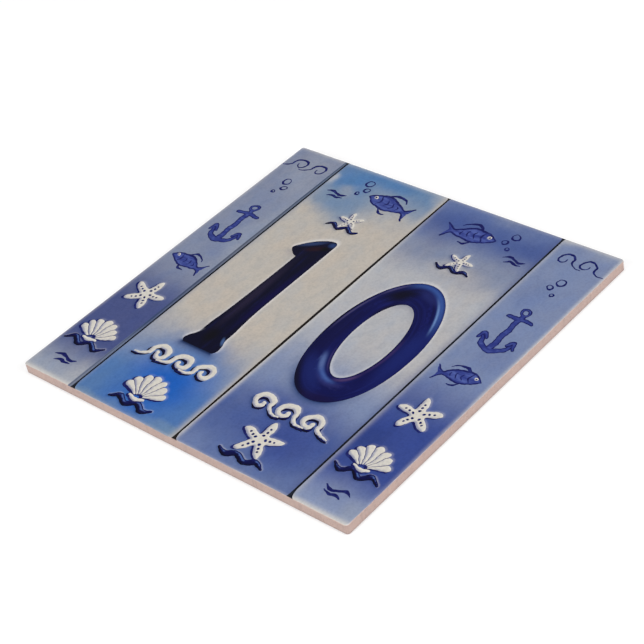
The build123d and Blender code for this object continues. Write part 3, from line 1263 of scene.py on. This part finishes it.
def biscuit_finish():
    """Fired clay: fine grain, pores, pressing marks, painted shade low on the sides and kiln wash on the
    ribs.
    """
    finish = Finish("biscuit", BODY.biscuit)
    x, y, z = finish.place_mm()
    grain = finish.noise(0.45, detail=3.0)
    cloud = finish.noise(7.0, detail=3.0)
    drag = finish.noise(1.4, stretch=(1.0, 1.0, 0.12))
    out = finish.math("MAXIMUM", finish.math("ABSOLUTE", x), finish.math("ABSOLUTE", y))
    side = finish.ease(out, *ARRIS_REACH)
    finish.tint(finish.ease(cloud, 0.3, 0.75, most=0.5), BISCUIT_WARM)
    finish.tint(finish.ease(drag, 0.5, 0.8, most=0.4), BODY.biscuit_dark_and_shade)
    finish.tint(finish.ease(grain, 0.58, 0.72, most=0.55), BODY.biscuit_dark_and_shade)
    finish.tint(finish.ease(grain, 0.42, 0.3, most=0.5), BISCUIT_PALE)
    rib = finish.times(finish.ease(z, *RIB_HEIGHTS), finish.minus(1.0, side))
    powder = finish.ease(finish.noise(9.0, detail=5.0, offset=0.4), 0.4, 0.66, most=0.75)
    finish.tint(finish.times(rib, powder), KILN_WASH)
    # painted shade, darker towards the bottom of the sides
    low = finish.plus(z, finish.times(finish.minus(cloud, 0.5), 0.8))
    finish.tint(finish.times(finish.ease(low, *LOW_SHADE_HEIGHTS, most=0.65), side), BODY.biscuit_dark_and_shade)
    # painted shade along the lower arris
    finish.tint(finish.times(finish.ease(z, *ARRIS_HEIGHTS, most=0.6), side), ARRIS_SHADE)
    finish.surface(finish.ease(grain, 0.2, 0.8, most=0.95), BISCUIT_SHINE)
    finish.bump(finish.plus(grain, finish.times(drag, 0.6)), PORE_DEPTH)
    return finish.material


FLOOR_HALF = 4.5  # metres, of its level part
BACKDROP_HALF, BACKDROP_HIGH = 6.5, 1.3  # metres, of the edge that it turns up to
FLOOR_GAP = 0.00002  # metres, so that the floor and the tile's back don't share a plane
FLOOR_GLOW = 0.52  # beside the tile
FLOOR_FADE = (250.0, 1500.0)  # millimetres from the tile, over which the glow grows to white


def floor_finish():
    """Paper that glows where the camera, a mirror or a glass sees it, the more so far from the tile."""
    finish = Finish("floor_paper", STAGE.floor)
    x, y, _ = finish.place_mm()
    glow = finish.plus(FLOOR_GLOW, finish.ease(finish.length(x, y), *FLOOR_FADE, most=1 - FLOOR_GLOW))
    path = finish.node("LightPath").outputs
    seen = finish.math("MAXIMUM", path["Is Camera Ray"], path["Is Glossy Ray"])
    seen = finish.math("MAXIMUM", seen, path["Is Transmission Ray"])
    finish.surface(roughness=1.0, shine=0.0)
    finish.shader.inputs["Emission Color"].default_value = (1.0, 1.0, 1.0, 1.0)
    finish.feed(finish.shader.inputs["Emission Strength"], finish.times(glow, seen))
    return finish.material


# Operators


class HOUSETILE_OT_fire_body(bpy.types.Operator):
    """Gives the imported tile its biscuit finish"""

    bl_idname = "housetile.fire_body"
    bl_label = "Fire Body"

    def execute(self, context):
        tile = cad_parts["tile"]
        tile.material_slots[0].material = biscuit_finish()
        return {"FINISHED"}


class HOUSETILE_OT_lay_glaze(bpy.types.Operator):
    """Lays the printed glaze over the tile's face and rim"""

    bl_idname = "housetile.lay_glaze"
    bl_label = "Lay Glaze"

    def execute(self, context):
        skin, shapes = Skin(), print_sheet()
        edge = skin.glaze_line()
        spots = np.vstack([face_spots(skin, shapes), skin.rim_spots()])
        places, faces = cut_sheet([edge, *(shape.outline for shape in shapes)], spots)
        faces = faces[signed_gap(edge, places[faces].mean(1)) < 0]
        used, faces = np.unique(faces, return_inverse=True)
        places, faces = places[used], faces.reshape(-1, 3)
        owner = inks_of(places[faces].mean(1), shapes)
        points, under = closed_skin(skin, places, faces)

        mesh = bpy.data.meshes.new("glaze")
        mesh.from_pydata((points * MM).tolist(), [], faces.tolist() + under)
        self.set_inks(mesh, places, faces, owner, shapes)
        self.set_paint(mesh, paint_values(places, faces, owner, shapes))
        self.set_print_map(mesh, places, len(faces))
        mesh.shade_smooth()
        mesh.set_sharp_from_angle(angle=math.radians(SHARP_ANGLE))
        if mesh.validate():
            raise RuntimeError("the glaze has faces that don't hold together")
        glaze = bpy.data.objects.new("glaze", mesh)
        context.scene.collection.objects.link(glaze)
        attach(glaze, "root")
        return {"FINISHED"}

    def set_inks(self, mesh, places, faces, owner, shapes):
        """Gives each face the finish of its ink, or of the field that it lies in."""
        joints = joint_places()
        bounds = [-HALF_SIDE, *joints, HALF_SIDE]
        finishes = {
            name: field_finish(name, bounds[k], bounds[k + 1], offset=NOISE_STEP * k + NOISE_START)
            for k, name in enumerate(FIELDS)
        }
        finishes["joint"] = joint_finish()
        finishes["joint_wall"] = wall_finish(joints[0])
        finishes[WHITE] = slip_finish()
        finishes[CREST] = thick_cobalt_finish(CREST, PRINT.cobalt, dark=1.0, marked=0.3, sheen=0.6)
        finishes[ONE] = thick_cobalt_finish(ONE, PRINT.cobalt_deep, dark=1.0, marked=0.12)
        finishes[NOUGHT] = thick_cobalt_finish(NOUGHT, PRINT.cobalt, dark=0.4, marked=0.3)
        finishes[THIN] = thin_cobalt_finish()
        finishes[LINE] = line_finish()
        finishes["underside"] = underside_finish()
        order = list(finishes)
        for finish in finishes.values():
            mesh.materials.append(finish)
        ink_index = np.array([order.index(shape.ink) if shape.ink != BARE else 0 for shape in shapes])
        middles = places[faces].mean(1)
        across = middles[:, 0] + joint_lean() * middles[:, 1]
        field_index = np.searchsorted(joints, across)
        index = np.full(len(mesh.polygons), order.index("underside"), np.int32)
        index[: len(faces)] = np.where(owner >= 0, ink_index[owner], field_index)
        mesh.polygons.foreach_set("material_index", index)

    def set_paint(self, mesh, values):
        """Keeps the painted depth, lean and shade on the corners of the faces."""
        for name, value in zip(("depth", "lean", "shade"), values):
            kept = np.zeros(len(mesh.loops), np.float32)
            kept[: value.size] = value.ravel()
            mesh.attributes.new(name, "FLOAT", "CORNER").data.foreach_set("value", kept)

    def set_print_map(self, mesh, places, sheet_faces):
        """A flat map of the sheet, with the hidden underside in the strip beside it."""
        span = 2 * np.abs(places).max()
        vertex = np.empty(len(mesh.loops), np.int32)
        mesh.loops.foreach_get("vertex_index", vertex)
        corners, strip = 3 * sheet_faces, 1 - SHEET_SHARE
        flat = np.empty((len(mesh.loops), 2), np.float32)
        flat[:corners] = places[vertex[:corners]] / span * SHEET_SHARE + 0.5
        flat[:corners, 0] -= strip / 2
        hidden = np.array([mesh.vertices[v].co[:2] for v in vertex[corners:]]) / (2 * HALF_SIDE * MM)
        flat[corners:] = hidden * (HIDDEN_SHARE * strip, SHEET_SHARE) + (1 - strip / 2, 0.5)
        mesh.uv_layers.new(name="OFBake").uv.foreach_set("vector", flat.ravel())


LAMPS = (  # name, place and width in metres, and watts
    ("lamp_above", (0.2, -0.2, 2.2), 1.8, 24.0),
    ("lamp_left", (-0.4, -1.9, 0.9), 1.4, 27.0),
    ("lamp_right", (1.9, 0.4, 0.9), 1.4, 30.0),
    ("lamp_back", (-1.9, 1.9, 0.4), 1.0, 16.0),
)
WORLD_LIGHT = 0.12
CLIP_START = 0.01  # metres from the camera, nearer than which nothing stands


class HOUSETILE_OT_set_stage(bpy.types.Operator):
    """Sets the floor, the lamps, the world and the camera"""

    bl_idname = "housetile.set_stage"
    bl_label = "Set Stage"

    def execute(self, context):
        context.scene.view_settings.view_transform = "Standard"
        self.lay_floor(context.scene)
        self.hang_lamps(context.scene)
        self.dim_world(context.scene)
        self.set_camera(context.scene)
        return {"FINISHED"}

    def lay_floor(self, scene):
        """A wide sheet of paper, turned up far off, that reads as white and still takes the tile's shadow."""
        mesh = bpy.data.meshes.new("floor")
        square = ((-1, -1), (1, -1), (1, 1), (-1, 1))
        rings = ((FLOOR_HALF, 0.0), (BACKDROP_HALF, BACKDROP_HIGH))
        corners = [(x * half, y * half, high) for half, high in rings for x, y in square]
        slopes = [(k, (k + 1) % 4, 4 + (k + 1) % 4, 4 + k) for k in range(4)]
        mesh.from_pydata(corners, [], [(0, 1, 2, 3), *slopes])
        mesh.materials.append(floor_finish())
        floor = bpy.data.objects.new("floor", mesh)
        floor.location.z = TILE_LOW.z - FLOOR_GAP
        scene.collection.objects.link(floor)

    def hang_lamps(self, scene):
        """Soft boxes above, beside and behind the tile, none where the face would mirror it to the camera."""
        for name, at, size, watts in LAMPS:
            light = bpy.data.lights.new(name, "AREA")
            light.size = size
            light.energy = watts
            lamp = bpy.data.objects.new(name, light)
            lamp.location = at
            lamp.rotation_mode = "QUATERNION"
            lamp.rotation_quaternion = Vector(at).to_track_quat("Z", "Y")
            scene.collection.objects.link(lamp)

    def dim_world(self, scene):
        world = bpy.data.worlds.new("studio")
        world.use_nodes = True
        background = world.node_tree.nodes["Background"]
        background.inputs["Color"].default_value = (1.0, 1.0, 1.0, 1.0)
        background.inputs["Strength"].default_value = WORLD_LIGHT
        scene.world = world

    def set_camera(self, scene):
        azimuth, elevation, roll = STAGE.azimuth, STAGE.elevation, STAGE.roll
        out = math.cos(elevation)
        back = Vector((math.sin(azimuth) * out, -math.cos(azimuth) * out, math.sin(elevation)))
        level = Vector((0, 0, 1)).cross(back).normalized()
        plumb = back.cross(level)
        right = level * math.cos(roll) + plumb * math.sin(roll)
        up = plumb * math.cos(roll) - level * math.sin(roll)
        camera = bpy.data.objects.new("camera", bpy.data.cameras.new("camera"))
        camera.data.lens = STAGE.lens
        camera.data.clip_start = CLIP_START
        at = Vector((0, 0, TILE_HIGH.z)) + back * STAGE.distance - up * STAGE.rise
        camera.matrix_world = Matrix.Translation(at) @ Matrix((right, up, back)).transposed().to_4x4()
        scene.collection.objects.link(camera)
        scene.camera = camera


class HOUSETILE_PT_sidebar(bpy.types.Panel):
    """Lists the steps and what they use"""

    bl_idname = "HOUSETILE_PT_sidebar"
    bl_label = "House Tile"
    bl_space_type = "VIEW_3D"
    bl_region_type = "UI"
    bl_category = "House Tile"

    def draw(self, context):
        for operator, group in (
            (HOUSETILE_OT_fire_body, context.scene.house_tile_body),
            (HOUSETILE_OT_lay_glaze, context.scene.house_tile_print),
            (HOUSETILE_OT_set_stage, context.scene.house_tile_stage),
        ):
            box = self.layout.box()
            box.operator(operator.bl_idname)
            for name in group.__annotations__:
                box.prop(group, name)


GROUPS = {
    "house_tile_body": HouseTileBody,
    "house_tile_print": HouseTilePrint,
    "house_tile_stage": HouseTileStage,
}
CLASSES = (
    *GROUPS.values(),
    HOUSETILE_OT_fire_body,
    HOUSETILE_OT_lay_glaze,
    HOUSETILE_OT_set_stage,
    HOUSETILE_PT_sidebar,
)


def register():
    global BODY, PRINT, STAGE
    for cls in CLASSES:
        bpy.utils.register_class(cls)
    for name, group in GROUPS.items():
        setattr(bpy.types.Scene, name, bpy.props.PointerProperty(type=group))
    scene = bpy.context.scene
    BODY, PRINT, STAGE = scene.house_tile_body, scene.house_tile_print, scene.house_tile_stage


def unregister():
    for name in GROUPS:
        delattr(bpy.types.Scene, name)
    for cls in reversed(CLASSES):
        bpy.utils.unregister_class(cls)


def main():
    register()
    bpy.ops.housetile.fire_body()
    bpy.ops.housetile.lay_glaze()
    bpy.ops.housetile.set_stage()


if __name__ == "__main__":
    main()
